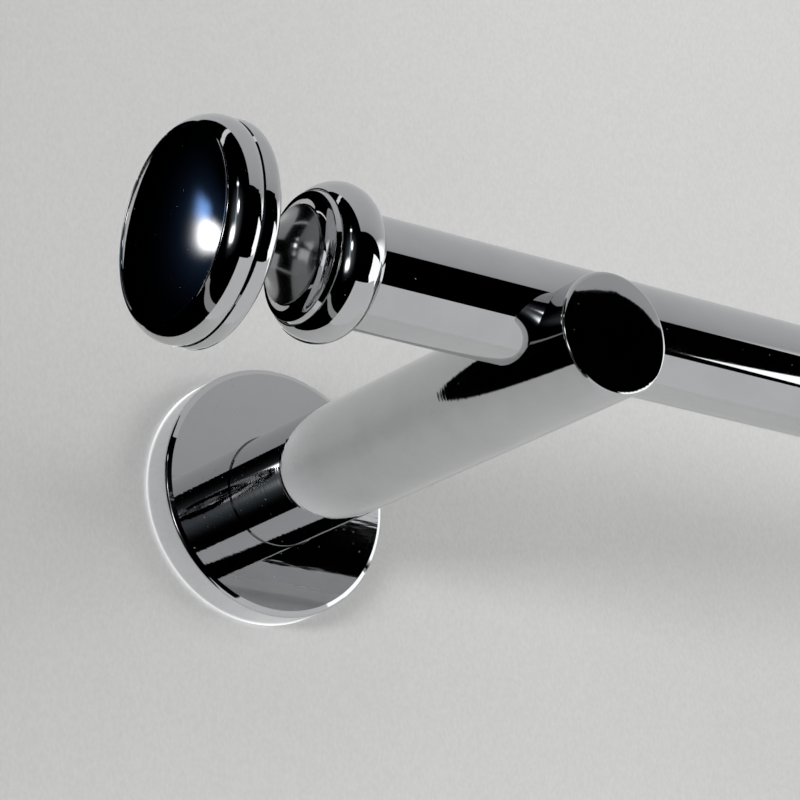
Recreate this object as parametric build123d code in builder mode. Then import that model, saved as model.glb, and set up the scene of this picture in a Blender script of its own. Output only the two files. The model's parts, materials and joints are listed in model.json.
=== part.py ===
"""A chrome wall rail: two bracket arms with sliding roses, a round rail in open saddles, and a disc
finial on each end of the rail.

Frame: the origin is on the wall plane, at the left arm's axis. +X runs along the rail to the right arm,
-Y points out of the wall into the room, and +Z is up. Sizes are in millimetres.
"""

from build123d import *
from math import cos, radians, sin
import os

os.makedirs("parts", exist_ok=True)

SIDES = (("left", -1), ("right", 1))

# ---------------------------------------------------------------- driving dimensions
bracket_spacing = 400.0  # between the two arm axes
rail_diameter = 28.0
rail_wall = 1.5
rail_standoff = 138.5  # rail axis to wall
rail_rise = 9.7  # rail axis above the arm axis
arm_diameter = 31.0
arm_reach = 160.0  # wall to the arm's flat front end
rose_diameter = 70.0
rose_depth = 11.0
bare_rail = 62.0  # arm axis to the back of the collar
running_gap = 0.05  # radial gap between parts that move on each other

# ---------------------------------------------------------------- bracket
gasket_thickness = 1.0
gasket_radius = 30.0
gasket_head_clearance = 2.0  # round the arm screw's head
gasket_hole_clearance = 0.6  # round the wall screws
flange_thickness = 5.0
flange_radius = 31.5
wall_hole_radius = 2.6
wall_hole_head_radius = 5.0
wall_hole_circle = 23.0
wall_hole_count = 3
rose_wall = 2.0
rose_front = 2.5
rose_bevel_width = 1.6
rose_bevel_depth = 0.8
rose_edge_round = 1.0  # softens the bevel's outer edge
rose_back_bevel = 0.4
rose_bore_bevel = 0.35  # round the arm, at the rose's front
arm_bore_radius = 11.5
arm_bore_depth = 100.0
arm_flat = 10.0  # radius of the flat middle of the arm's front end
arm_crown = 0.09  # how far that middle stands proud of the end's polished edge
arm_end_round = 0.9
insert_length = 14.0
ring_section_radius = 1.25
ring_groove_clearance = 0.1  # on each side of the rubber ring

arm_screw_radius = 4.0
arm_screw_head_radius = 7.5
arm_screw_length = 18.0
arm_screw_rim = 0.5
arm_screw_clearance = 0.2  # round the shank where it passes through the flange
arm_screw_socket = 2.9  # corner radius of the hexagon
dowel_radius = 2.0
dowel_length = 8.0
dowel_offset = 8.5
dowel_cover = 2.2  # flange metal left behind a dowel

lock_radius = 2.0
lock_length = 6.0
lock_tip_radius = 1.2
lock_angle = 35.0  # the lock screw's rise above the horizontal, in degrees
lock_socket = 1.15  # corner radius of the hexagon
lock_socket_depth = 2.5

# ---------------------------------------------------------------- rail ends and finials
# Distances along a finial are counted from the back of its collar.
collar_depth = 8.0  # how far the tube's end goes into the collar
collar_back_radius = 15.9
collar_radius = 19.3
collar_crown = 6.4  # where the bead is widest
bead_end = 12.3
bead_end_radius = 16.4
lip_radius = 16.0  # the lip is a cone, a little wider at its back
lip_end = 13.6
lip_end_radius = 15.5
lip_round = 0.12
cove_radius = 15.2  # where the cove starts, at the foot of the lip
cove_middle = 14.0
cove_middle_radius = 13.5
collar_end = 15.1
collar_end_radius = 12.1
plug_length = 16.0
stud_radius = 3.0
stud_in_plug = 14.0
stud_clearance = 0.2  # round the stud where it passes through the collar
stud_bevel = 0.5
stud_past_nut = 1.5

neck_radius = 11.8  # at the collar
neck_rim = 0.7
waist_radius = 5.6
waist = 25.0
knob_back_start = 33.2
boss_radius = 8.6
knob_radius = 26.9
back_shoulder = 34.4
back_shoulder_radius = 23.6
back_crown = 37.4
knob_seam = 39.8
seam_radius = 26.2
seam_width = 0.35
rim_crown = 41.6
face_edge = 47.6
face_radius = 23.3
face_groove = 0.7  # half the width of the groove round the face, and its depth
dome_height = 3.4
dome_flat = 0.5  # radius of the tiny flat in the middle of the dome
shell_thickness = 1.8
spigot_radius = 24.2
spigot_length = 3.0
nut_across_corners = 11.5
nut_height = 5.0

# ---------------------------------------------------------------- derived dimensions
rail_radius = rail_diameter / 2
arm_radius = arm_diameter / 2
rose_radius = rose_diameter / 2
rose_inner_radius = rose_radius - rose_wall
flange_front = gasket_thickness + flange_thickness
flange_middle = gasket_thickness + flange_thickness / 2
ring_radius = rose_inner_radius - running_gap - ring_section_radius
tube_overhang = bare_rail + collar_depth  # arm axis to the tube's end
tube_bore_radius = rail_radius - rail_wall
rail_axis = Axis((0, -rail_standoff, rail_rise), (1, 0, 0))


# ---------------------------------------------------------------- planes
def arm_x(side):
    """Where one arm's axis stands along the rail."""
    return bracket_spacing if side > 0 else 0.0


def arm_axis(side):
    """One arm's axis, pointing out of the wall."""
    return Axis((arm_x(side), 0, 0), (0, -1, 0))


def arm_profile_plane(side):
    """Half-section plane of one bracket: local x is the distance from the wall, local y the radius."""
    return Plane(origin=(arm_x(side), 0, 0), x_dir=(0, -1, 0), z_dir=(-1, 0, 0))


def facing_room(side, depth):
    """Plane at a distance from the wall, centred on one arm's axis and facing the room."""
    return Plane(origin=(arm_x(side), -depth, 0), x_dir=(1, 0, 0), z_dir=(0, -1, 0))


def facing_wall(side, depth):
    """The same plane turned round, facing the wall."""
    return Plane(origin=(arm_x(side), -depth, 0), x_dir=(-1, 0, 0), z_dir=(0, 1, 0))


def lock_plane(side, distance):
    """Plane across the lock screw's axis, at a distance from the back of the rail."""
    start = (arm_x(side), rail_radius - rail_standoff, rail_rise)
    direction = (0, cos(radians(lock_angle)), sin(radians(lock_angle)))
    return Plane(origin=start, x_dir=(1, 0, 0), z_dir=direction).offset(distance)


def lock_axis(side):
    """The lock screw's axis, pointing out of the arm."""
    plane = lock_plane(side, 0)
    return Axis(plane.origin, plane.z_dir)


def finial_plane(side):
    """Half-section plane of one finial: local x runs outward along the rail, local y is the radius."""
    start = (arm_x(side) + side * bare_rail, -rail_standoff, rail_rise)
    return Plane(origin=start, x_dir=(side, 0, 0), z_dir=(0, -side, 0))


def save(part, name):
    """Label a finished part and write it as one STEP file."""
    part.label = name
    export_step(part, f"parts/{name}.step")


# ---------------------------------------------------------------- bracket parts
def make_gasket(side):
    with BuildPart() as gasket:
        with BuildSketch(facing_room(side, 0)):
            Circle(gasket_radius)
            Circle(arm_screw_head_radius + gasket_head_clearance, mode=Mode.SUBTRACT)
            with PolarLocations(wall_hole_circle, wall_hole_count, start_angle=90):
                Circle(wall_hole_radius + gasket_hole_clearance, mode=Mode.SUBTRACT)
        extrude(amount=gasket_thickness)
    return gasket.part


def make_flange(side):
    """Round plate with a groove in its rim for the rubber ring."""
    groove_half = ring_section_radius + ring_groove_clearance
    groove_bottom = ring_radius - ring_section_radius
    with BuildPart() as flange:
        with BuildSketch(arm_profile_plane(side)):
            with BuildLine():
                Polyline(
                    (gasket_thickness, 0),
                    (gasket_thickness, flange_radius),
                    (flange_middle - groove_half, flange_radius),
                    (flange_middle - groove_half, groove_bottom),
                    (flange_middle + groove_half, groove_bottom),
                    (flange_middle + groove_half, flange_radius),
                    (flange_front, flange_radius),
                    (flange_front, 0),
                    close=True,
                )
            make_face()
        revolve(axis=arm_axis(side))
        with Locations(facing_room(side, flange_front)):
            with PolarLocations(wall_hole_circle, wall_hole_count, start_angle=90):
                CounterSinkHole(wall_hole_radius, wall_hole_head_radius, counter_sink_angle=90)
        with Locations(facing_wall(side, gasket_thickness)):
            CounterSinkHole(
                arm_screw_radius + arm_screw_clearance,
                arm_screw_head_radius + arm_screw_rim,
                counter_sink_angle=90,
            )
        with BuildSketch(facing_room(side, gasket_thickness + dowel_cover)):
            with Locations((0, dowel_offset), (0, -dowel_offset)):
                Circle(dowel_radius)
        extrude(amount=flange_thickness, mode=Mode.SUBTRACT)
    return flange.part


def make_rose_ring(side):
    with BuildPart() as ring:
        with BuildSketch(arm_profile_plane(side)):
            with Locations((flange_middle, ring_radius)):
                Circle(ring_section_radius)
        revolve(axis=arm_axis(side))
    return ring.part


def make_rose(side):
    """Cup that covers the flange, with a softened bevel round its front and a bore that runs on the arm."""
    inner_front = rose_depth - rose_front
    bore_radius = arm_radius + running_gap
    with BuildPart() as rose:
        with BuildSketch(arm_profile_plane(side)):
            with BuildLine():
                outline = FilletPolyline(
                    (rose_back_bevel, rose_radius),
                    (rose_depth - rose_bevel_depth, rose_radius),
                    (rose_depth, rose_radius - rose_bevel_width),
                    radius=rose_edge_round,
                )
                Polyline(
                    outline @ 1,
                    (rose_depth, bore_radius + rose_bore_bevel),
                    (rose_depth - rose_bore_bevel, bore_radius),
                    (inner_front, bore_radius),
                    (inner_front, rose_inner_radius),
                    (0, rose_inner_radius),
                    (0, rose_radius - rose_back_bevel),
                    outline @ 0,
                )
            make_face()
        revolve(axis=arm_axis(side))
    return rose.part


def make_arm(side):
    """Round bar, bored from the wall end, with an open-topped saddle for the rail near its front."""
    saddle_radius = rail_radius + running_gap
    edge = arm_reach - arm_crown
    with BuildPart() as arm:
        with BuildSketch(arm_profile_plane(side)):
            with BuildLine():
                Polyline(
                    (arm_reach, arm_flat),
                    (arm_reach, 0),
                    (arm_bore_depth, 0),
                    (arm_bore_depth, arm_bore_radius),
                    (flange_front, arm_bore_radius),
                    (flange_front, arm_radius),
                    (edge - arm_end_round, arm_radius),
                )
                TangentArc(
                    (edge - arm_end_round, arm_radius),
                    (edge, arm_radius - arm_end_round),
                    tangent=(1, 0),
                )
                TangentArc((arm_reach, arm_flat), (edge, arm_radius - arm_end_round), tangent=(0, 1))
            make_face()
        revolve(axis=arm_axis(side))
        with BuildSketch(Plane.YZ.offset(arm_x(side))):
            with Locations((-rail_standoff, rail_rise)):
                Circle(saddle_radius)
                Rectangle(2 * saddle_radius, arm_diameter, align=(Align.CENTER, Align.MIN))
        extrude(amount=arm_diameter, both=True, mode=Mode.SUBTRACT)
        with BuildSketch(lock_plane(side, -lock_radius)):
            Circle(lock_radius + running_gap)
        extrude(amount=arm_diameter, mode=Mode.SUBTRACT)
    return arm.part


def make_insert(side):
    """Plug pressed in the arm's rear bore, threaded for the arm screw and drilled for the dowels."""
    with BuildPart() as insert:
        with BuildSketch(facing_room(side, flange_front)):
            Circle(arm_bore_radius)
            Circle(arm_screw_radius, mode=Mode.SUBTRACT)
        extrude(amount=insert_length)
        with BuildSketch(facing_room(side, flange_front)):
            with Locations((0, dowel_offset), (0, -dowel_offset)):
                Circle(dowel_radius)
        extrude(amount=dowel_length + dowel_cover - flange_thickness, mode=Mode.SUBTRACT)
    return insert.part


def make_arm_screws():
    """The two countersunk socket screws, one behind each arm."""
    cone_end = gasket_thickness + arm_screw_rim + arm_screw_head_radius - arm_screw_radius
    with BuildPart() as screws:
        for _, side in SIDES:
            with BuildSketch(arm_profile_plane(side)):
                with BuildLine():
                    Polyline(
                        (gasket_thickness, 0),
                        (gasket_thickness, arm_screw_head_radius),
                        (gasket_thickness + arm_screw_rim, arm_screw_head_radius),
                        (cone_end, arm_screw_radius),
                        (gasket_thickness + arm_screw_length, arm_screw_radius),
                        (gasket_thickness + arm_screw_length, 0),
                        close=True,
                    )
                make_face()
            revolve(axis=arm_axis(side))
            with BuildSketch(facing_room(side, gasket_thickness)):
                RegularPolygon(arm_screw_socket, 6)
            extrude(amount=arm_screw_socket, mode=Mode.SUBTRACT)
    return screws.part


def make_arm_dowels():
    """The four dowels, one above and one below each arm's axis."""
    with BuildPart() as dowels:
        for _, side in SIDES:
            with BuildSketch(facing_room(side, gasket_thickness + dowel_cover)):
                with Locations((0, dowel_offset), (0, -dowel_offset)):
                    Circle(dowel_radius)
            extrude(amount=dowel_length)
    return dowels.part


def make_lock_screw(side):
    """Socket set screw with a tapered tip that stops just short of the rail."""
    tilt = radians(lock_angle)
    tip = (running_gap + lock_tip_radius * sin(tilt)) / cos(tilt)
    with BuildPart() as screw:
        with BuildSketch(lock_plane(side, tip)):
            Circle(lock_radius)
        extrude(amount=lock_length)
        tip_edge = screw.edges().sort_by(lock_axis(side))[0]
        chamfer(tip_edge, lock_radius - lock_tip_radius)
        with BuildSketch(lock_plane(side, tip + lock_length)):
            RegularPolygon(lock_socket, 6)
        extrude(amount=-lock_socket_depth, mode=Mode.SUBTRACT)
    return screw.part


# ---------------------------------------------------------------- rail parts
def make_rail():
    with BuildPart() as rail:
        with BuildSketch(Plane.YZ.offset(-tube_overhang)):
            with Locations((-rail_standoff, rail_rise)):
                Circle(rail_radius)
                Circle(tube_bore_radius, mode=Mode.SUBTRACT)
        extrude(amount=bracket_spacing + 2 * tube_overhang)
    return rail.part


def make_plug(side):
    """Plug in the tube's end, flush with it, with a running fit on the finial's stud."""
    with BuildPart() as plug:
        with BuildSketch(finial_plane(side)):
            with BuildLine():
                Polyline(
                    (collar_depth - plug_length, stud_radius + running_gap),
                    (collar_depth - plug_length, tube_bore_radius),
                    (collar_depth, tube_bore_radius),
                    (collar_depth, stud_radius + running_gap),
                    close=True,
                )
            make_face()
        revolve(axis=rail_axis)
    return plug.part


# ---------------------------------------------------------------- finial parts
def make_collar(side):
    """Round bead with a stepped lip and a cove in front, bored at the back for the tube's end."""
    with BuildPart() as collar:
        with BuildSketch(finial_plane(side)):
            with BuildLine():
                Polyline((collar_depth, rail_radius), (0, rail_radius), (0, collar_back_radius))
                ThreePointArc(
                    (0, collar_back_radius),
                    (collar_crown, collar_radius),
                    (bead_end, bead_end_radius),
                )
                FilletPolyline(
                    (bead_end, bead_end_radius),
                    (bead_end, lip_radius),
                    (lip_end, lip_end_radius),
                    (lip_end, cove_radius),
                    radius=lip_round,
                )
                ThreePointArc(
                    (lip_end, cove_radius),
                    (cove_middle, cove_middle_radius),
                    (collar_end, collar_end_radius),
                )
                Polyline(
                    (collar_end, collar_end_radius),
                    (collar_end, stud_radius + stud_clearance),
                    (collar_depth, stud_radius + stud_clearance),
                    (collar_depth, rail_radius),
                )
            make_face()
        revolve(axis=rail_axis)
    return collar.part


def make_neck(side):
    """Trumpet-shaped spindle: wide at the collar, slim at the waist, wider again at the disc."""
    start = collar_end + running_gap
    with BuildPart() as neck:
        with BuildSketch(finial_plane(side)):
            with BuildLine():
                Polyline(
                    (knob_back_start, boss_radius),
                    (knob_back_start, stud_radius),
                    (start, stud_radius),
                    (start, neck_radius),
                    (start + neck_rim, neck_radius),
                )
                TangentArc(
                    (waist, waist_radius),
                    (start + neck_rim, neck_radius),
                    tangent=(-1, 0),
                )
                TangentArc((waist, waist_radius), (knob_back_start, boss_radius), tangent=(1, 0))
            make_face()
        revolve(axis=rail_axis)
    return neck.part


def make_stud(side):
    inner_end = collar_depth - stud_in_plug
    outer_end = back_crown + nut_height + stud_past_nut
    with BuildPart() as stud:
        with BuildSketch(finial_plane(side)):
            with BuildLine():
                Polyline(
                    (inner_end, 0),
                    (inner_end, stud_radius - stud_bevel),
                    (inner_end + stud_bevel, stud_radius),
                    (outer_end - stud_bevel, stud_radius),
                    (outer_end, stud_radius - stud_bevel),
                    (outer_end, 0),
                    close=True,
                )
            make_face()
        revolve(axis=rail_axis)
    return stud.part


def make_knob_back(side):
    """Rear shell of the disc: a shallow back, a round rear rim and a spigot that carries the front ring."""
    inner = spigot_radius - shell_thickness
    spigot_end = knob_seam + spigot_length
    with BuildPart() as back:
        with BuildSketch(finial_plane(side)):
            with BuildLine():
                Polyline(
                    (back_crown, stud_radius),
                    (knob_back_start, stud_radius),
                    (knob_back_start, boss_radius),
                )
                Spline(
                    (knob_back_start, boss_radius),
                    (back_shoulder, back_shoulder_radius),
                    tangents=((0.25, 1), (0.3, 1)),
                )
                TangentArc(
                    (back_crown, knob_radius),
                    (back_shoulder, back_shoulder_radius),
                    tangent=(-1, 0),
                )
                TangentArc(
                    (back_crown, knob_radius),
                    (knob_seam - seam_width, seam_radius + seam_width),
                    tangent=(1, 0),
                )
                Polyline(
                    (knob_seam - seam_width, seam_radius + seam_width),
                    (knob_seam, seam_radius),
                    (knob_seam, spigot_radius),
                    (spigot_end, spigot_radius),
                    (spigot_end, inner),
                    (back_crown, inner),
                    (back_crown, stud_radius),
                )
            make_face()
        revolve(axis=rail_axis)
    return back.part


def make_knob_rim(side):
    """Front ring of the disc, rounded outside, with a seat for the domed face."""
    seat = face_edge - shell_thickness
    with BuildPart() as rim:
        with BuildSketch(finial_plane(side)):
            with BuildLine():
                Polyline(
                    (seat, face_radius),
                    (seat, face_radius - shell_thickness),
                    (knob_seam + spigot_length, face_radius - shell_thickness),
                    (knob_seam + spigot_length, spigot_radius),
                    (knob_seam, spigot_radius),
                    (knob_seam, seam_radius),
                    (knob_seam + seam_width, seam_radius + seam_width),
                )
                TangentArc(
                    (rim_crown, knob_radius),
                    (knob_seam + seam_width, seam_radius + seam_width),
                    tangent=(-1, 0),
                )
                TangentArc(
                    (rim_crown, knob_radius),
                    (face_edge, face_radius + face_groove),
                    tangent=(1, 0),
                )
                TangentArc(
                    (face_edge - face_groove, face_radius),
                    (face_edge, face_radius + face_groove),
                    tangent=(1, 0),
                )
                Line((face_edge - face_groove, face_radius), (seat, face_radius))
            make_face()
        revolve(axis=rail_axis)
    return rim.part


def make_knob_face(side):
    """Shallow dome that closes the front of the disc."""
    edge = face_edge - face_groove
    crown = face_edge + dome_height
    with BuildPart() as face:
        with BuildSketch(finial_plane(side)):
            with BuildLine():
                Polyline(
                    (crown - shell_thickness, dome_flat),
                    (crown - shell_thickness, 0),
                    (crown, 0),
                    (crown, dome_flat),
                )
                TangentArc((crown, dome_flat), (face_edge, face_radius - face_groove), tangent=(0, 1))
                TangentArc(
                    (edge, face_radius),
                    (face_edge, face_radius - face_groove),
                    tangent=(1, 0),
                )
                Polyline(
                    (edge, face_radius),
                    (face_edge - shell_thickness, face_radius),
                    (face_edge - shell_thickness, face_radius - shell_thickness),
                )
                TangentArc(
                    (crown - shell_thickness, dome_flat),
                    (face_edge - shell_thickness, face_radius - shell_thickness),
                    tangent=(0, 1),
                )
            make_face()
        revolve(axis=rail_axis)
    return face.part


def make_knob_nut(side):
    """Hexagon nut that clamps the rear shell against the neck, inside the hollow disc."""
    nut_plane = Plane(
        origin=finial_plane(side).from_local_coords((back_crown, 0, 0)),
        x_dir=(0, 0, 1),
        z_dir=(side, 0, 0),
    )
    with BuildPart() as nut:
        with BuildSketch(nut_plane):
            RegularPolygon(nut_across_corners / 2, 6)
            Circle(stud_radius, mode=Mode.SUBTRACT)
        extrude(amount=nut_height)
    return nut.part


# ---------------------------------------------------------------- build and write everything
for side_name, side in SIDES:
    save(make_gasket(side), f"{side_name}_wall_gasket")
    save(make_flange(side), f"{side_name}_base_flange")
    save(make_rose_ring(side), f"{side_name}_rose_ring")
    save(make_rose(side), f"{side_name}_rose")
    save(make_arm(side), f"{side_name}_arm")
    save(make_insert(side), f"{side_name}_arm_insert")
    save(make_lock_screw(side), f"{side_name}_lock_screw")
    save(make_plug(side), f"{side_name}_end_plug")
    save(make_collar(side), f"{side_name}_collar")
    save(make_neck(side), f"{side_name}_neck")
    save(make_stud(side), f"{side_name}_finial_stud")
    save(make_knob_back(side), f"{side_name}_knob_back")
    save(make_knob_rim(side), f"{side_name}_knob_rim")
    save(make_knob_face(side), f"{side_name}_knob_face")
    save(make_knob_nut(side), f"{side_name}_knob_nut")

save(make_rail(), "rail_tube")
save(make_arm_screws(), "arm_screws")
save(make_arm_dowels(), "arm_dowels")
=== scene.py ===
"""Chrome wall rail: materials, wall, floor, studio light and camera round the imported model.

Metres, in the model's frame: the origin is on the wall at the left bracket, +X runs along the rail
and -Y points out of the wall.
"""
import json
from math import cos, pi, radians, sin

import bpy
from mathutils import Matrix, Vector


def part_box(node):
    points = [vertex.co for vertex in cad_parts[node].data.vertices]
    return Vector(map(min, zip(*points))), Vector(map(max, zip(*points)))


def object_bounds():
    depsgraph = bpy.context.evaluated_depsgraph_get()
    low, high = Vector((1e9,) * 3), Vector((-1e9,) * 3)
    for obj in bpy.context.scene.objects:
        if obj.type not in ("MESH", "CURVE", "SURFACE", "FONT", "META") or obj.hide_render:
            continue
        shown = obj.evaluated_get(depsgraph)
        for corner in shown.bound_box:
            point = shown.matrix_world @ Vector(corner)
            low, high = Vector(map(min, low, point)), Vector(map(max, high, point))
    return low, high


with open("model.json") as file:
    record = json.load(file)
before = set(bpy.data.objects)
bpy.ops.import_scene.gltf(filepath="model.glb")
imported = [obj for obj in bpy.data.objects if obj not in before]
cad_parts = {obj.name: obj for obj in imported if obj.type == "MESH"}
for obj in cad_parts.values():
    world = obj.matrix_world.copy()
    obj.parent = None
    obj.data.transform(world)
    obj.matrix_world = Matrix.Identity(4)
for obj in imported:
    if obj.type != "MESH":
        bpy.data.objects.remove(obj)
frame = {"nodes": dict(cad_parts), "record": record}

cad_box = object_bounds()

# ---------------------------------------------------------------- sizes taken from the model
left_arm_low, left_arm_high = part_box("left_arm")
rose_low, rose_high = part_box("left_rose")
rose_radius = (rose_high.x - rose_low.x) / 2
finial_end = cad_box[0].x

# ---------------------------------------------------------------- camera
camera_target = Vector((0, -0.07, 0.0093))
camera_distance = 0.85
camera_azimuth = -34.7
camera_elevation = -19.38
camera_roll = -0.19
camera_lens = 147.3  # mm, on a 36 mm sensor

# ---------------------------------------------------------------- room
wall_height = 1.6
wall_reach = 3.0  # how far the wall runs to each side
wall_gap = 0.0003  # keeps the wall off the gaskets' back faces
floor_level = -0.8
floor_reach = 12.0
floor_lift = 0.18  # keeps the floor pale where the lights don't reach
lower_level = -0.45  # where the lit lower part of the reflected room lies
lower_depth = 0.71
ceiling_level = 0.165
ceiling_depth = 0.46
right_end = 2.0  # how far right the reflected ceiling and lower part run
right_card_x = 1.9  # the white right side of the reflected room
right_card_depth = 2.3
right_card_low = -1.2
card_gap = 0.0005  # how far a card stands off the wall
lit_edge = finial_end - 0.001  # the chrome sees nothing lit to the left of this
dark_overlap = 0.009  # how far the dark card reaches past that edge on the wall
lamp_place = Vector((-0.366, -0.001, 0.08))  # the lamp that the disc mirrors
lamp_width = 0.5
lamp_height = 0.36
window_distance = 1.2  # from the arm's middle
window_azimuth = -132
window_width = 1.0
window_height = 1.5

# ---------------------------------------------------------------- light on the matt surfaces
key_distance = 2.4  # from the arm's middle
key_azimuth = -145
key_elevation = -4
right_light_place = Vector((1.7, -1.5, 0.35))
right_light_target = Vector((0.35, 0, 0.05))
fill = 0.34  # the world's soft fill

# ---------------------------------------------------------------- plain colours
WALL_COLOUR = (0.775, 0.775, 0.772)
FLOOR_COLOUR = (0.78, 0.78, 0.77)
BACKDROP_COLOUR = (0.70, 0.70, 0.69)


# ---------------------------------------------------------------- node helpers
def add(tree, kind, settings=None, **inputs):
    """Adds a node. Settings are its properties; inputs are values or sockets, by input name."""
    node = tree.nodes.new(kind)
    for name, value in (settings or {}).items():
        setattr(node, name, value)
    for name, value in inputs.items():
        connect(tree, node.inputs[name.replace("_", " ")], value)
    return node


def connect(tree, socket, value):
    """Links a socket to another node's output, or sets its plain value."""
    if isinstance(value, bpy.types.NodeSocket):
        tree.links.new(value, socket)
    else:
        socket.default_value = value


def maths(tree, operation, first, second=0.0):
    """The result of one maths node."""
    node = tree.nodes.new("ShaderNodeMath")
    node.operation = operation
    connect(tree, node.inputs[0], first)
    connect(tree, node.inputs[1], second)
    return node.outputs[0]


def remap(tree, value, from_low, from_high, to_low, to_high):
    """Straight-line change of range, held at both ends."""
    node = add(tree, "ShaderNodeMapRange", Value=value, From_Min=from_low, From_Max=from_high,
               To_Min=to_low, To_Max=to_high)
    return node.outputs["Result"]


def mix_colour(tree, factor, first, second):
    """Blend of two colours."""
    node = tree.nodes.new("ShaderNodeMix")
    node.data_type = "RGBA"
    connect(tree, node.inputs["Factor"], factor)
    connect(tree, node.inputs["A"], first)
    connect(tree, node.inputs["B"], second)
    return node.outputs["Result"]


def mix_value(tree, factor, first, second):
    """Blend of two numbers."""
    node = tree.nodes.new("ShaderNodeMix")
    connect(tree, node.inputs["Factor"], factor)
    connect(tree, node.inputs["A"], first)
    connect(tree, node.inputs["B"], second)
    return node.outputs["Result"]


def new_material(name):
    """A material with its node tree and its Principled BSDF."""
    material = bpy.data.materials.new(name)
    material.use_nodes = True
    tree = material.node_tree
    return material, tree, tree.nodes["Principled BSDF"]


def noise(tree, scales, detail=2.0, roughness=0.5):
    """Noise over the part's own metres; the three scales are cycles per metre along x, y and z."""
    place = add(tree, "ShaderNodeTexCoord").outputs["Object"]
    stretched = add(tree, "ShaderNodeVectorMath", {"operation": "MULTIPLY"})
    tree.links.new(place, stretched.inputs[0])
    stretched.inputs[1].default_value = scales
    texture = add(tree, "ShaderNodeTexNoise", Vector=stretched.outputs["Vector"], Scale=1.0,
                  Detail=detail, Roughness=roughness)
    return texture.outputs["Fac"]


def bump(tree, height, depth, normal=None):
    """Bump of a given depth in metres."""
    node = add(tree, "ShaderNodeBump", Height=height, Distance=depth, Strength=1.0)
    if normal is not None:
        tree.links.new(normal, node.inputs["Normal"])
    return node.outputs["Normal"]


# ---------------------------------------------------------------- chrome
CHROME_BRIGHT = (0.56, 0.565, 0.575, 1)
CHROME_DULL = (0.51, 0.515, 0.525, 1)
END_FACING = 0.97  # a face whose normal lies this much along Y takes the end's polishing lines
DUST_CUT = 0.87  # noise above this is a speck of dust


def chrome(name, lines, line_depth, wave_depth, end_lines=None, end_share=1.0, tone=1.0, blur=0.0):
    """Polished plate: fine polishing lines, a slight waviness, smudges and a few specks of dust.

    lines are the polishing lines' scales. Faces that look along Y take end_lines instead, whose
    depth is a share of line_depth. tone darkens the metal and blur is added to its roughness.
    """
    material, tree, surface = new_material(name)
    grain = noise(tree, lines, detail=2.0)
    if end_lines is not None:
        normal = add(tree, "ShaderNodeNewGeometry").outputs["Normal"]
        along_y = add(tree, "ShaderNodeSeparateXYZ", Vector=normal).outputs["Y"]
        is_end = maths(tree, "GREATER_THAN", maths(tree, "ABSOLUTE", along_y), END_FACING)
        end_grain = maths(tree, "MULTIPLY", noise(tree, end_lines, detail=2.0), end_share)
        grain = mix_value(tree, is_end, grain, end_grain)
    waves = noise(tree, (55, 55, 55), detail=1.0)
    shape = bump(tree, grain, line_depth, bump(tree, waves, wave_depth))

    smudge = noise(tree, (38, 46, 42), detail=5.0, roughness=0.6)
    dull = remap(tree, smudge, 0.45, 0.75, 0.0, 1.0)
    dust = maths(tree, "GREATER_THAN", noise(tree, (1500, 1500, 1500), detail=0.0), DUST_CUT)
    roughness = remap(tree, smudge, 0.3, 0.75, 0.012 + blur, 0.05 + blur)
    roughness = mix_value(tree, dust, roughness, 0.45)

    tint = add(tree, "ShaderNodeVectorMath", {"operation": "SCALE"}, Scale=tone)
    tree.links.new(mix_colour(tree, dull, CHROME_BRIGHT, CHROME_DULL), tint.inputs[0])
    connect(tree, surface.inputs["Base Color"], tint.outputs["Vector"])
    connect(tree, surface.inputs["Metallic"], 1.0)
    connect(tree, surface.inputs["Roughness"], roughness)
    connect(tree, surface.inputs["Normal"], shape)
    return material


# ---------------------------------------------------------------- other metals, nylon and rubber
def zinc_plate():
    """Bright zinc plate: pale, slightly blue and yellow in patches, with fine turning marks."""
    material, tree, surface = new_material("zinc_plate")
    patches = noise(tree, (90, 90, 90), detail=4.0, roughness=0.65)
    tint = mix_colour(tree, remap(tree, patches, 0.35, 0.7, 0.0, 1.0),
                      (0.50, 0.53, 0.56, 1), (0.60, 0.58, 0.50, 1))
    marks = noise(tree, (900, 160, 900), detail=3.0)
    connect(tree, surface.inputs["Base Color"], tint)
    connect(tree, surface.inputs["Metallic"], 1.0)
    connect(tree, surface.inputs["Roughness"], remap(tree, patches, 0.3, 0.7, 0.26, 0.42))
    connect(tree, surface.inputs["Normal"], bump(tree, marks, 0.00001))
    return material


def dark_stainless():
    """Dark stainless screws, lightly scuffed."""
    material, tree, surface = new_material("dark_stainless")
    scuffs = noise(tree, (700, 700, 700), detail=3.0, roughness=0.6)
    tint = mix_colour(tree, scuffs, (0.13, 0.13, 0.14, 1), (0.30, 0.30, 0.31, 1))
    connect(tree, surface.inputs["Base Color"], tint)
    connect(tree, surface.inputs["Metallic"], 1.0)
    connect(tree, surface.inputs["Roughness"], remap(tree, scuffs, 0.3, 0.7, 0.22, 0.40))
    connect(tree, surface.inputs["Normal"], bump(tree, scuffs, 0.000008))
    return material


def turned_brass():
    """Brass with rings left by the lathe."""
    material, tree, surface = new_material("turned_brass")
    rings = noise(tree, (40, 2200, 40), detail=2.0)
    tarnish = noise(tree, (120, 120, 120), detail=4.0)
    tint = mix_colour(tree, remap(tree, tarnish, 0.4, 0.75, 0.0, 1.0),
                      (0.66, 0.46, 0.18, 1), (0.38, 0.24, 0.09, 1))
    connect(tree, surface.inputs["Base Color"], tint)
    connect(tree, surface.inputs["Metallic"], 1.0)
    connect(tree, surface.inputs["Roughness"], remap(tree, tarnish, 0.3, 0.7, 0.2, 0.38))
    connect(tree, surface.inputs["Normal"], bump(tree, rings, 0.00002))
    return material


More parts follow.
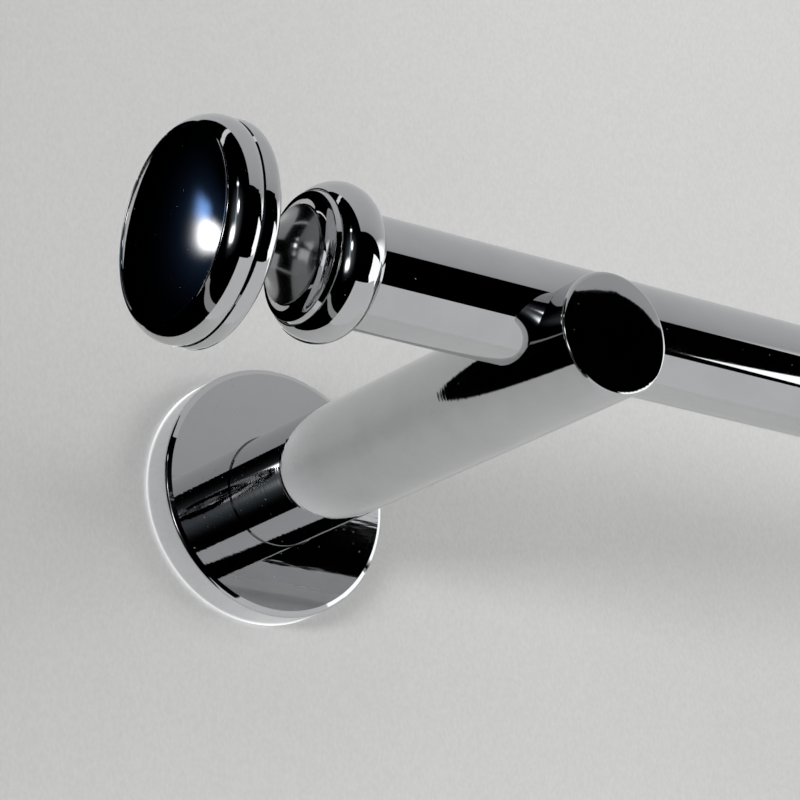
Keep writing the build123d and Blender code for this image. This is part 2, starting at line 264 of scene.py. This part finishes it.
def moulded_nylon():
    """Natural nylon, milky and faintly dimpled."""
    material, tree, surface = new_material("moulded_nylon")
    cloud = noise(tree, (160, 160, 160), detail=3.0)
    dimples = noise(tree, (2600, 2600, 2600), detail=1.0)
    tint = mix_colour(tree, cloud, (0.70, 0.68, 0.60, 1), (0.80, 0.79, 0.73, 1))
    connect(tree, surface.inputs["Base Color"], tint)
    connect(tree, surface.inputs["Roughness"], 0.45)
    connect(tree, surface.inputs["Subsurface Weight"], 0.15)
    connect(tree, surface.inputs["Subsurface Scale"], 0.002)
    connect(tree, surface.inputs["Normal"], bump(tree, dimples, 0.00002))
    return material


def black_rubber():
    """Matt rubber with a fine pebbled skin and a bloom of pale dust."""
    material, tree, surface = new_material("black_rubber")
    pebbles = noise(tree, (3200, 3200, 3200), detail=2.0)
    bloom = noise(tree, (140, 140, 140), detail=4.0)
    tint = mix_colour(tree, remap(tree, bloom, 0.45, 0.8, 0.0, 1.0),
                      (0.018, 0.018, 0.019, 1), (0.07, 0.07, 0.07, 1))
    connect(tree, surface.inputs["Base Color"], tint)
    connect(tree, surface.inputs["Roughness"], remap(tree, pebbles, 0.3, 0.7, 0.6, 0.85))
    connect(tree, surface.inputs["Normal"], bump(tree, pebbles, 0.00004))
    return material


# ---------------------------------------------------------------- which part takes which finish
arm_chrome = chrome("arm_chrome", lines=(40, 1100, 40), line_depth=6e-6, wave_depth=1.5e-6,
                    end_lines=(900, 25, 90), end_share=0.35)
rose_chrome = chrome("rose_chrome", lines=(90, 300, 800), line_depth=5e-6, wave_depth=2e-6)
rail_chrome = chrome("rail_chrome", lines=(900, 45, 45), line_depth=3e-7, wave_depth=3e-6)
finial_chrome = chrome("finial_chrome", lines=(1900, 60, 60), line_depth=3e-7, wave_depth=2e-6)
# Painted shade: the neck between the disc and the collar takes a darker copy of the finial's
# chrome.
neck_chrome = chrome("neck_chrome", lines=(1900, 60, 60), line_depth=3e-7, wave_depth=4e-6,
                     tone=0.50, blur=0.15)

SLOT_FINISH = {
    "zinc_steel": zinc_plate(),
    "screw_steel": dark_stainless(),
    "brass": turned_brass(),
    "nylon": moulded_nylon(),
    "rubber": black_rubber(),
}
CHROME_FINISH = {
    "arm": arm_chrome,
    "rose": rose_chrome,
    "rail_tube": rail_chrome,
    "neck": neck_chrome,
}


def finish_of(subpart):
    """The material for one CAD part, from its slot in the record and its name."""
    if subpart["material_slot"] != "chrome":
        return SLOT_FINISH[subpart["material_slot"]]
    plain_name = subpart["node"].replace("left_", "").replace("right_", "")
    return CHROME_FINISH.get(plain_name, finial_chrome)


for subpart in frame["record"]["subparts"]:
    part = frame["nodes"][subpart["node"]]
    part.data.materials.clear()
    part.data.materials.append(finish_of(subpart))


# ---------------------------------------------------------------- wall and floor
def make_sheet(name, low, high, material):
    """Flat rectangle between two corners that share one coordinate."""
    flat = min(range(3), key=lambda axis: high[axis] - low[axis])
    first, second = [axis for axis in range(3) if axis != flat]
    corners = []
    for a, b in ((0, 0), (1, 0), (1, 1), (0, 1)):
        corner = list(low)
        corner[first] = (low, high)[a][first]
        corner[second] = (low, high)[b][second]
        corners.append(corner)
    mesh = bpy.data.meshes.new(name)
    mesh.from_pydata(corners, [], [(0, 1, 2, 3)])
    mesh.materials.append(material)
    sheet = bpy.data.objects.new(name, mesh)
    bpy.context.scene.collection.objects.link(sheet)
    return sheet


def camera_is_past(tree, axis, comparison, level):
    """1 when the camera stands past a level on one axis."""
    node = add(tree, "ShaderNodeVectorTransform",
               {"vector_type": "POINT", "convert_from": "CAMERA", "convert_to": "WORLD"})
    node.inputs["Vector"].default_value = (0, 0, 0)
    parts = add(tree, "ShaderNodeSeparateXYZ", Vector=node.outputs["Vector"])
    return maths(tree, comparison, parts.outputs[axis], level)


def leave_out(tree, surface, when):
    """Leaves a sheet out of the picture when a value is 1."""
    gone = add(tree, "ShaderNodeBsdfTransparent")
    both = add(tree, "ShaderNodeMixShader", Fac=when)
    tree.links.new(surface.outputs["BSDF"], both.inputs[1])
    tree.links.new(gone.outputs["BSDF"], both.inputs[2])
    tree.links.new(both.outputs["Shader"], tree.nodes["Material Output"].inputs["Surface"])


def painted_rose_glow(tree):
    """A glow painted on the wall where the left rose's polished side would throw light, on its
    lower left.

    It is bright in reflections, where the rose's side shows it, and faint on the wall itself.
    """
    place = add(tree, "ShaderNodeTexCoord").outputs["Object"]
    parts = add(tree, "ShaderNodeSeparateXYZ", Vector=place)
    x, z = parts.outputs["X"], parts.outputs["Z"]
    squares = maths(tree, "ADD", maths(tree, "MULTIPLY", x, x), maths(tree, "MULTIPLY", z, z))
    away = maths(tree, "SQRT", squares)
    broad_width, edge_width = 0.014, 0.0012
    broad = remap(tree, away, rose_radius, rose_radius + broad_width, 0.32, 0.12)
    edge = remap(tree, away, rose_radius, rose_radius + edge_width, 1.3, 0.0)
    fade_start, fade_end = rose_radius + 0.010, rose_radius + 0.020
    near = maths(tree, "MULTIPLY", maths(tree, "ADD", broad, edge),
                 remap(tree, away, fade_start, fade_end, 1.0, 0.0))
    low_left = maths(tree, "SUBTRACT", maths(tree, "MULTIPLY", x, -0.9),
                     maths(tree, "MULTIPLY", z, 0.45))
    facing = remap(tree, low_left, -0.015, 0.015, 0.0, 1.0)
    rays = add(tree, "ShaderNodeLightPath")
    share = mix_value(tree, rays.outputs["Is Glossy Ray"], 0.04, 1.0)
    return maths(tree, "MULTIPLY", maths(tree, "MULTIPLY", near, facing), share)


def wall_paint():
    """Pale painted board with a fine grain, and painted shade that makes it a little greyer on the
    left as in the picture.
    """
    material, tree, surface = new_material("wall_paint")
    grain = noise(tree, (1000, 1000, 650), detail=3.0, roughness=0.6)
    mottle = noise(tree, (14, 14, 14), detail=3.0)
    shade = maths(tree, "ADD", remap(tree, grain, 0.3, 0.7, 0.95, 1.025),
                  remap(tree, mottle, 0.3, 0.7, -0.012, 0.012))
    place = add(tree, "ShaderNodeTexCoord").outputs["Object"]
    across = add(tree, "ShaderNodeSeparateXYZ", Vector=place).outputs["X"]
    # Painted shade: the wall's colour darkens towards the left.
    shade = maths(tree, "MULTIPLY", shade, remap(tree, across, -0.12, 0.10, 0.835, 1.0))
    tint = add(tree, "ShaderNodeVectorMath", {"operation": "SCALE"}, Scale=shade)
    tint.inputs[0].default_value = WALL_COLOUR
    connect(tree, surface.inputs["Base Color"], tint.outputs["Vector"])
    connect(tree, surface.inputs["Roughness"], 0.85)
    connect(tree, surface.inputs["Specular IOR Level"], 0.2)
    connect(tree, surface.inputs["Normal"], bump(tree, grain, 0.0001))
    connect(tree, surface.inputs["Emission Color"], (1, 1, 1, 1))
    # Painted light: the wall glows beside the left rose.
    connect(tree, surface.inputs["Emission Strength"], painted_rose_glow(tree))
    material.cycles.emission_sampling = "NONE"
    leave_out(tree, surface, camera_is_past(tree, "Y", "GREATER_THAN", 0.0))
    return material


def floor_paint():
    """Plain pale floor."""
    material, tree, surface = new_material("floor_paint")
    mottle = noise(tree, (9, 9, 9), detail=4.0)
    tint = mix_colour(tree, mottle, (0.74, 0.74, 0.73, 1), (*FLOOR_COLOUR, 1))
    connect(tree, surface.inputs["Base Color"], tint)
    connect(tree, surface.inputs["Roughness"], 0.8)
    rays = add(tree, "ShaderNodeLightPath")
    connect(tree, surface.inputs["Emission Color"], (1, 1, 1, 1))
    connect(tree, surface.inputs["Emission Strength"],
            maths(tree, "MULTIPLY", rays.outputs["Is Camera Ray"], floor_lift))
    material.cycles.emission_sampling = "NONE"
    leave_out(tree, surface, camera_is_past(tree, "Z", "LESS_THAN", floor_level))
    return material


make_sheet("wall", (-wall_reach, wall_gap, floor_level), (wall_reach, wall_gap, wall_height),
           wall_paint())
floor = make_sheet("floor", (-floor_reach, -floor_reach, floor_level),
                   (floor_reach, wall_gap, floor_level), floor_paint())
floor.visible_glossy = False


# ---------------------------------------------------------------- cards that only the chrome sees
def empty_glow(name):
    """A material that isn't sampled as a lamp, its node tree and its output's surface socket."""
    material = bpy.data.materials.new(name)
    material.use_nodes = True
    material.cycles.emission_sampling = "NONE"
    tree = material.node_tree
    tree.nodes.clear()
    return material, tree, add(tree, "ShaderNodeOutputMaterial").inputs["Surface"]


def glow(name, colour, strength):
    """Plain light of one colour. Strength may be a number or a function of the node tree."""
    material, tree, surface = empty_glow(name)
    value = strength(tree) if callable(strength) else strength
    emission = add(tree, "ShaderNodeEmission", Color=(*colour, 1), Strength=value)
    tree.links.new(emission.outputs["Emission"], surface)
    return material


def reflected_only(sheet):
    """Hides a card from everything but reflections."""
    sheet.visible_camera = False
    sheet.visible_diffuse = False
    sheet.visible_transmission = False
    sheet.visible_volume_scatter = False
    sheet.visible_shadow = False
    return sheet


def direction(azimuth, elevation):
    """Unit vector: azimuth from +X towards +Y, elevation above the horizon, in degrees."""
    a, e = radians(azimuth), radians(elevation)
    return Vector((cos(a) * cos(e), sin(a) * cos(e), sin(e)))


def aim(thing, place, target):
    """Stands a thing at a place with its -Z side facing a target."""
    turn = (target - place).to_track_quat("-Z", "Y").to_matrix().to_4x4()
    thing.matrix_world = Matrix.Translation(place) @ turn


def make_window(name, place, target, width, height, material):
    """A card that faces a target."""
    sheet = make_sheet(name, (-width / 2, -height / 2, 0), (width / 2, height / 2, 0), material)
    aim(sheet, place, target)
    return reflected_only(sheet)


def ceiling_strength(tree):
    """Dimmer away from the wall, and white far to the right."""
    place = add(tree, "ShaderNodeNewGeometry").outputs["Position"]
    parts = add(tree, "ShaderNodeSeparateXYZ", Vector=place)
    near_wall = remap(tree, parts.outputs["Y"], -ceiling_depth, -0.12, 0.44, 0.62)
    to_right = remap(tree, parts.outputs["X"], 0.28, 0.45, 0.0, 1.0)
    return mix_value(tree, to_right, near_wall, 1.8)


SPOT_POWER = 2.6  # 2 would be a bell curve, and more makes a spot flatter with a harder edge


def soft_spot(tree, place, centre, half_size, strength):
    """A patch of light that fades out from its centre, on a card's own x and y."""
    parts = add(tree, "ShaderNodeSeparateXYZ", Vector=place)
    falls = []
    for axis, middle, half in zip("XY", centre, half_size):
        away = maths(tree, "DIVIDE", maths(tree, "SUBTRACT", parts.outputs[axis], middle), half)
        falls.append(maths(tree, "POWER", maths(tree, "ABSOLUTE", away), SPOT_POWER))
    fade = maths(tree, "EXPONENT", maths(tree, "MULTIPLY", maths(tree, "ADD", *falls), -1.0))
    return maths(tree, "MULTIPLY", fade, strength)


def spotted_glow(name, spots):
    """Card material made of soft spots: each is a centre, half size, colour and strength."""
    material, tree, surface = empty_glow(name)
    place = add(tree, "ShaderNodeTexCoord").outputs["Object"]
    total = None
    for centre, half_size, colour, strength in spots:
        brightness = soft_spot(tree, place, centre, half_size, strength)
        emission = add(tree, "ShaderNodeEmission", Color=(*colour, 1), Strength=brightness)
        spot = emission.outputs["Emission"]
        if total is not None:
            both = add(tree, "ShaderNodeAddShader")
            tree.links.new(total, both.inputs[0])
            tree.links.new(spot, both.inputs[1])
            spot = both.outputs["Shader"]
        total = spot
    tree.links.new(total, surface)
    return material


ceiling_glow = glow("ceiling_glow", (0.98, 0.99, 1.0), ceiling_strength)
reflected_only(make_sheet("ceiling_card", (lit_edge, -ceiling_depth, ceiling_level),
                          (right_end, 0, ceiling_level), ceiling_glow))
floor_glow = glow("floor_glow", (0.98, 0.99, 1.0), 0.72)
reflected_only(make_sheet("floor_card", (lit_edge, -lower_depth, lower_level),
                          (right_end, 0, lower_level), floor_glow))
right_glow = glow("right_glow", (0.99, 1.0, 1.0), 1.8)
reflected_only(make_sheet("right_card", (right_card_x, -right_card_depth, right_card_low),
                          (right_card_x, 0, ceiling_level), right_glow))
dark_glow = glow("dark_side", (0, 0, 0), 0.0)
reflected_only(make_sheet("dark_card", (-wall_reach, -card_gap, floor_level),
                          (lit_edge + dark_overlap, -card_gap, wall_height), dark_glow))

arm_middle = (left_arm_low + left_arm_high) / 2
ROOMWARD = Vector((0, -1, 0))
WHITE = (1.0, 1.0, 1.0)
DAYLIGHT = (0.80, 0.91, 1.0)
BLUE = (0.25, 0.48, 1.0)

window_place = arm_middle + window_distance * direction(window_azimuth, 0)
window_glow = spotted_glow("window_glow", [
    ((0.0, -0.10), (0.26, 0.40), DAYLIGHT, 0.13),  # faint and broad
    ((-0.02, 0.12), (0.04, 0.42), DAYLIGHT, 0.45),  # tall streak
    ((-0.11, -0.28), (0.12, 0.13), WHITE, 5.0),  # low patch
    ((-0.02, 0.58), (0.05, 0.04), WHITE, 4.0),  # small spot at the top
    ((0.075, 0.16), (0.04, 0.08), WHITE, 11.0),  # brightest patch, beside the streak
])
make_window("window_card", window_place, arm_middle, window_width, window_height, window_glow)

lamp_glow = spotted_glow("lamp_glow", [
    ((0.035, -0.009), (0.066, 0.023), WHITE, 6.0),  # white core
    ((-0.020, 0.029), (0.042, 0.018), BLUE, 1.2),  # blue patch beside it
    ((0.02, 0.0), (0.12, 0.07), BLUE, 0.07),  # faint halo round both
])
make_window("lamp_card", lamp_place, lamp_place + ROOMWARD, lamp_width, lamp_height, lamp_glow)


# ---------------------------------------------------------------- studio light
def area_light(name, place, target, width, height, radiance, colour):
    """Soft rectangular light of a given radiance, hidden from reflections."""
    data = bpy.data.lights.new(name, "AREA")
    data.shape = "RECTANGLE"
    data.size = width
    data.size_y = height
    data.energy = radiance * pi * width * height
    data.color = colour
    light = bpy.data.objects.new(name, data)
    bpy.context.scene.collection.objects.link(light)
    aim(light, place, target)
    light.visible_glossy = False
    light.visible_camera = False
    return light


key_place = arm_middle + key_distance * direction(key_azimuth, key_elevation)
area_light("key_light", key_place, arm_middle, width=1.0, height=0.40, radiance=17.5, colour=WHITE)
area_light("right_light", right_light_place, right_light_target, width=1.4, height=1.2,
           radiance=3.8, colour=(1.0, 1.0, 0.99))


def studio_world():
    """Pale backdrop for the camera, soft fill for matt surfaces and a dark room for chrome."""
    world = bpy.data.worlds.new("studio")
    world.use_nodes = True
    bpy.context.scene.world = world
    tree = world.node_tree
    background = tree.nodes["Background"]
    rays = add(tree, "ShaderNodeLightPath")
    heading = add(tree, "ShaderNodeSeparateXYZ",
                  Vector=add(tree, "ShaderNodeTexCoord").outputs["Generated"])
    # Chrome sees black on the room's side of the wall, and light that grows upwards behind it.
    behind = maths(tree, "GREATER_THAN", heading.outputs["Y"], 0.0)
    bands = remap(tree, heading.outputs["Z"], -0.5, 0.6, 0.35, 0.95)
    reflected = maths(tree, "MULTIPLY", behind, bands)
    # Chrome passes an even light on to the matt surfaces, so that they carry no dark patches.
    bounced = maths(tree, "GREATER_THAN", rays.outputs["Diffuse Depth"], 0.5)
    reflected = mix_value(tree, bounced, reflected, 0.75)
    seen = mix_value(tree, rays.outputs["Is Camera Ray"], fill, 1.0)
    seen = mix_value(tree, rays.outputs["Is Glossy Ray"], seen, reflected)
    colour = mix_colour(tree, rays.outputs["Is Camera Ray"], (1, 1, 1, 1), (*BACKDROP_COLOUR, 1))
    connect(tree, background.inputs["Color"], colour)
    connect(tree, background.inputs["Strength"], seen)


studio_world()


# ---------------------------------------------------------------- camera
def make_camera():
    """Camera at the photo's distance and angle."""
    data = bpy.data.cameras.new("camera")
    data.lens = camera_lens
    camera = bpy.data.objects.new("camera", data)
    bpy.context.scene.collection.objects.link(camera)
    a, e, r = radians(camera_azimuth), radians(camera_elevation), radians(camera_roll)
    back = Vector((sin(a) * cos(e), -cos(a) * cos(e), sin(e)))
    level = Vector((cos(a), sin(a), 0))
    upright = back.cross(level)
    right = level * cos(r) + upright * sin(r)
    up = back.cross(right)
    turn = Matrix((right, up, back)).transposed().to_4x4()
    camera.matrix_world = Matrix.Translation(camera_target + back * camera_distance) @ turn
    bpy.context.scene.camera = camera


make_camera()
bpy.context.scene.view_settings.view_transform = "Standard"
